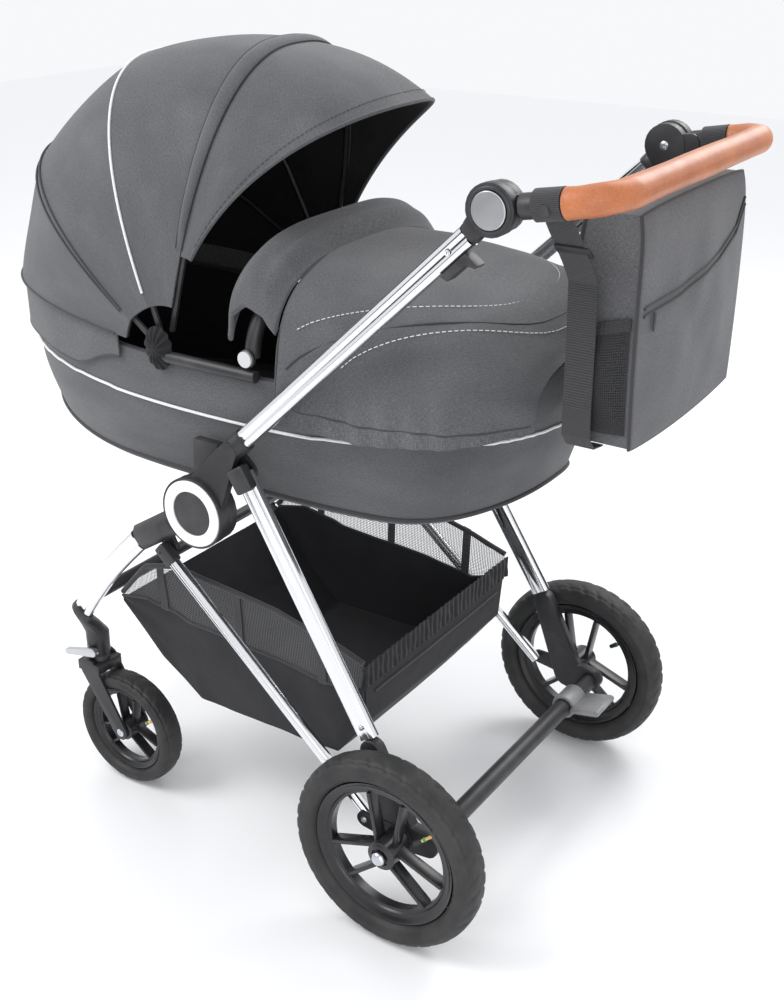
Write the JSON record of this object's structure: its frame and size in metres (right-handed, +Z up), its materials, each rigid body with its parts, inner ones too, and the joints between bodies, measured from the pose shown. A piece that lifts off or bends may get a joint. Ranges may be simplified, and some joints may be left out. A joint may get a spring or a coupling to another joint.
{
  "type": "baby stroller",
  "caption": "Pram with a hooded bassinet, a zipped apron, a tilting handle, a folding chrome frame, swivelling front casters, a shopping basket and a changing bag.",
  "frame": {"origin": "on the ground, under the middle of the whole object's box", "axes": "+Z up, +Y towards the handle and the person who pushes, -Y forwards, +X to that person's left"},
  "size_m": [0.642, 1.0826, 1.1475],
  "materials": {
    "chrome": "bright chrome-like plating on aluminium tube",
    "black_plastic": "moulded, fine satin grain",
    "grey_plastic": "moulded, satin",
    "silver_plastic": "silver lacquer",
    "white_plastic": "smooth white moulding",
    "rubber": "black, ribbed sidewalls and diagonal tread",
    "tan_leather": "smooth orange-brown leather with a fine grain",
    "grey_fabric": "charcoal melange weave",
    "lining_fabric": "black knitted lining",
    "black_fabric": "coated black cloth with mesh panels",
    "webbing": "ribbed black webbing"
  },
  "bodies": {
    "rear_frame": {"rear_leg_left": "chrome", "rear_leg_right": "chrome", "rear_bracket_left": "black_plastic", "rear_bracket_right": "black_plastic", "rear_axle_left": "chrome", "rear_axle_right": "chrome", "rear_cross_tube": "black_plastic", "basket": "black_fabric"},
    "rear_wheel_left": {"rear_wheel_left_rim": "black_plastic", "rear_wheel_left_tyre": "rubber"},
    "rear_wheel_right": {"rear_wheel_right_rim": "black_plastic", "rear_wheel_right_tyre": "rubber"},
    "brake": {"brake_pedal": "grey_plastic"},
    "upper_frame": {"upper_tube_left": "chrome", "upper_tube_right": "chrome", "hub_sleeve_left": "black_plastic", "hub_sleeve_right": "black_plastic", "hub_ring_left": "white_plastic", "hub_ring_right": "white_plastic", "pivot_housing_left": "black_plastic", "pivot_housing_right": "black_plastic"},
    "handle": {"handle_bar": "black_plastic", "handle_grip": "tan_leather"},
    "bag": {"changing_bag": "grey_fabric", "bag_strap": "webbing"},
    "front_frame": {"front_arm_left": "black_plastic", "front_arm_right": "black_plastic", "front_leg_left": "chrome", "front_leg_right": "chrome", "caster_housing_left": "black_plastic", "caster_housing_right": "black_plastic", "front_cross_tube": "black_plastic"},
    "struts": {"strut_left": "chrome", "strut_right": "chrome"},
    "seat": {"bassinet": "grey_fabric", "mattress": "lining_fabric", "apron": "grey_fabric", "canopy_panel_rear": "grey_fabric"},
    "bumper": {"bumper_bar": "lining_fabric", "apron_flap": "grey_fabric"},
    "canopy_rear": {"canopy_bow_rear": "silver_plastic", "canopy_panel_middle": "grey_fabric"},
    "canopy_middle": {"canopy_bow_middle": "silver_plastic", "canopy_panel_front": "grey_fabric"},
    "canopy_front": {"canopy_bow_front": "silver_plastic", "canopy_visor": "grey_fabric"},
    "handle_button_left": {"handle_button_left": "silver_plastic"},
    "fold_trigger_left": {"fold_trigger_left": "black_plastic"},
    "caster_left": {"caster_fork_left": "black_plastic"},
    "front_wheel_left": {"front_wheel_left_rim": "black_plastic", "front_wheel_left_tyre": "rubber"},
    "caster_lock_left": {"caster_lock_left": "silver_plastic"},
    "bumper_button_left": {"bumper_button_left": "silver_plastic"},
    "handle_button_right": {"handle_button_right": "silver_plastic"},
    "fold_trigger_right": {"fold_trigger_right": "black_plastic"},
    "caster_right": {"caster_fork_right": "black_plastic"},
    "front_wheel_right": {"front_wheel_right_rim": "black_plastic", "front_wheel_right_tyre": "rubber"},
    "caster_lock_right": {"caster_lock_right": "silver_plastic"},
    "bumper_button_right": {"bumper_button_right": "silver_plastic"}
  },
  "joints": [
    {"name": "fold", "type": "hinge", "parent": "rear_frame", "child": "upper_frame", "pos_m": [0, 0.01951, 0.618], "axis": [-1, 0, 0], "range_deg": [0, 56], "deforming": ["basket", "changing_bag", "bag_strap"]},
    {"name": "hub", "type": "hinge", "parent": "upper_frame", "child": "front_frame", "pos_m": [0, -0.06049, 0.545], "axis": [1, 0, 0], "range_deg": [0, 112]},
    {"name": "strut_swing", "type": "hinge", "parent": "front_frame", "child": "struts", "pos_m": [0, -0.12949, 0.464], "axis": [-1, 0, 0], "range_deg": [0, 68]},
    {"name": "handle_tilt", "type": "hinge", "parent": "upper_frame", "child": "handle", "pos_m": [0, 0.38851, 1.016], "axis": [1, 0, 0], "range_deg": [-40, 25]},
    {"name": "bag_hang", "type": "hinge", "parent": "handle", "child": "bag", "pos_m": [0, 0.52451, 1.04], "axis": [1, 0, 0], "range_deg": [-25, 40]},
    {"name": "brake_press", "type": "hinge", "parent": "rear_frame", "child": "brake", "pos_m": [-0.171, 0.32451, 0.145], "axis": [-1, 0, 0], "range_deg": [0, 20]},
    {"name": "rear_wheel_left_spin", "type": "hinge", "parent": "rear_frame", "child": "rear_wheel_left", "pos_m": [0.291, 0.28451, 0.145], "axis": [1, 0, 0], "continuous": true},
    {"name": "rear_wheel_right_spin", "type": "hinge", "parent": "rear_frame", "child": "rear_wheel_right", "pos_m": [-0.291, 0.28451, 0.145], "axis": [1, 0, 0], "continuous": true},
    {"name": "caster_left_swivel", "type": "hinge", "parent": "front_frame", "child": "caster_left", "pos_m": [0.213, -0.32249, 0.2145], "axis": [0, 0, 1], "continuous": true},
    {"name": "front_wheel_left_spin", "type": "hinge", "parent": "caster_left", "child": "front_wheel_left", "pos_m": [0.213, -0.26549, 0.096], "axis": [1, 0, 0], "continuous": true},
    {"name": "caster_lock_left_flip", "type": "hinge", "parent": "front_frame", "child": "caster_lock_left", "pos_m": [0.2365, -0.31049, 0.229], "axis": [-1, 0, 0], "range_deg": [0, 25]},
    {"name": "handle_button_left_press", "type": "slide", "parent": "upper_frame", "child": "handle_button_left", "axis": [-1, 0, 0], "range_m": [0, 0.003], "stiffness_N_per_m": 600, "springref_m": -0.002},
    {"name": "fold_trigger_left_pull", "type": "slide", "parent": "upper_frame", "child": "fold_trigger_left", "axis": [0, 0.7268, 0.6868], "range_m": [0, 0.01], "stiffness_N_per_m": 400, "springref_m": -0.004},
    {"name": "caster_right_swivel", "type": "hinge", "parent": "front_frame", "child": "caster_right", "pos_m": [-0.213, -0.32249, 0.2145], "axis": [0, 0, 1], "continuous": true},
    {"name": "front_wheel_right_spin", "type": "hinge", "parent": "caster_right", "child": "front_wheel_right", "pos_m": [-0.213, -0.26549, 0.096], "axis": [1, 0, 0], "continuous": true},
    {"name": "caster_lock_right_flip", "type": "hinge", "parent": "front_frame", "child": "caster_lock_right", "pos_m": [-0.2365, -0.31049, 0.229], "axis": [-1, 0, 0], "range_deg": [0, 25]},
    {"name": "handle_button_right_press", "type": "slide", "parent": "upper_frame", "child": "handle_button_right", "axis": [1, 0, 0], "range_m": [0, 0.003], "stiffness_N_per_m": 600, "springref_m": -0.002},
    {"name": "fold_trigger_right_pull", "type": "slide", "parent": "upper_frame", "child": "fold_trigger_right", "axis": [0, 0.7268, 0.6868], "range_m": [0, 0.01], "stiffness_N_per_m": 400, "springref_m": -0.004},
    {"name": "seat_lift", "type": "slide", "parent": "front_frame", "child": "seat", "axis": [0, 0, 1], "range_m": [0, 0.1]},
    {"name": "bumper_swing", "type": "hinge", "parent": "seat", "child": "bumper", "pos_m": [0, 0.00951, 0.768], "axis": [1, 0, 0], "range_deg": [0, 20]},
    {"name": "bumper_button_left_press", "type": "slide", "parent": "seat", "child": "bumper_button_left", "axis": [-1, 0, 0], "range_m": [0, 0.0015], "stiffness_N_per_m": 400, "springref_m": -0.002},
    {"name": "bumper_button_right_press", "type": "slide", "parent": "seat", "child": "bumper_button_right", "axis": [1, 0, 0], "range_m": [0, 0.0015], "stiffness_N_per_m": 400, "springref_m": -0.002},
    {"name": "canopy_fold", "type": "hinge", "parent": "seat", "child": "canopy_rear", "pos_m": [0, -0.14749, 0.754], "axis": [1, 0, 0], "range_deg": [0, 20], "deforming": ["canopy_panel_rear", "canopy_panel_middle", "canopy_panel_front"]},
    {"name": "canopy_bow_middle_turn", "type": "hinge", "parent": "canopy_rear", "child": "canopy_middle", "pos_m": [0, -0.14749, 0.754], "axis": [1, 0, 0], "range_deg": [0, 28]},
    {"name": "canopy_bow_front_turn", "type": "hinge", "parent": "canopy_middle", "child": "canopy_front", "pos_m": [0, -0.14749, 0.754], "axis": [1, 0, 0], "range_deg": [0, 30]}
  ],
  "couplings": [
    {"joint": "hub", "follows": "fold", "ratio": 2},
    {"joint": "strut_swing", "follows": "fold", "ratio": 1.2},
    {"joint": "bag_hang", "follows": "handle_tilt", "ratio": -1},
    {"joint": "canopy_bow_middle_turn", "follows": "canopy_fold", "ratio": 1.4},
    {"joint": "canopy_bow_front_turn", "follows": "canopy_fold", "ratio": 1.5}
  ]
}
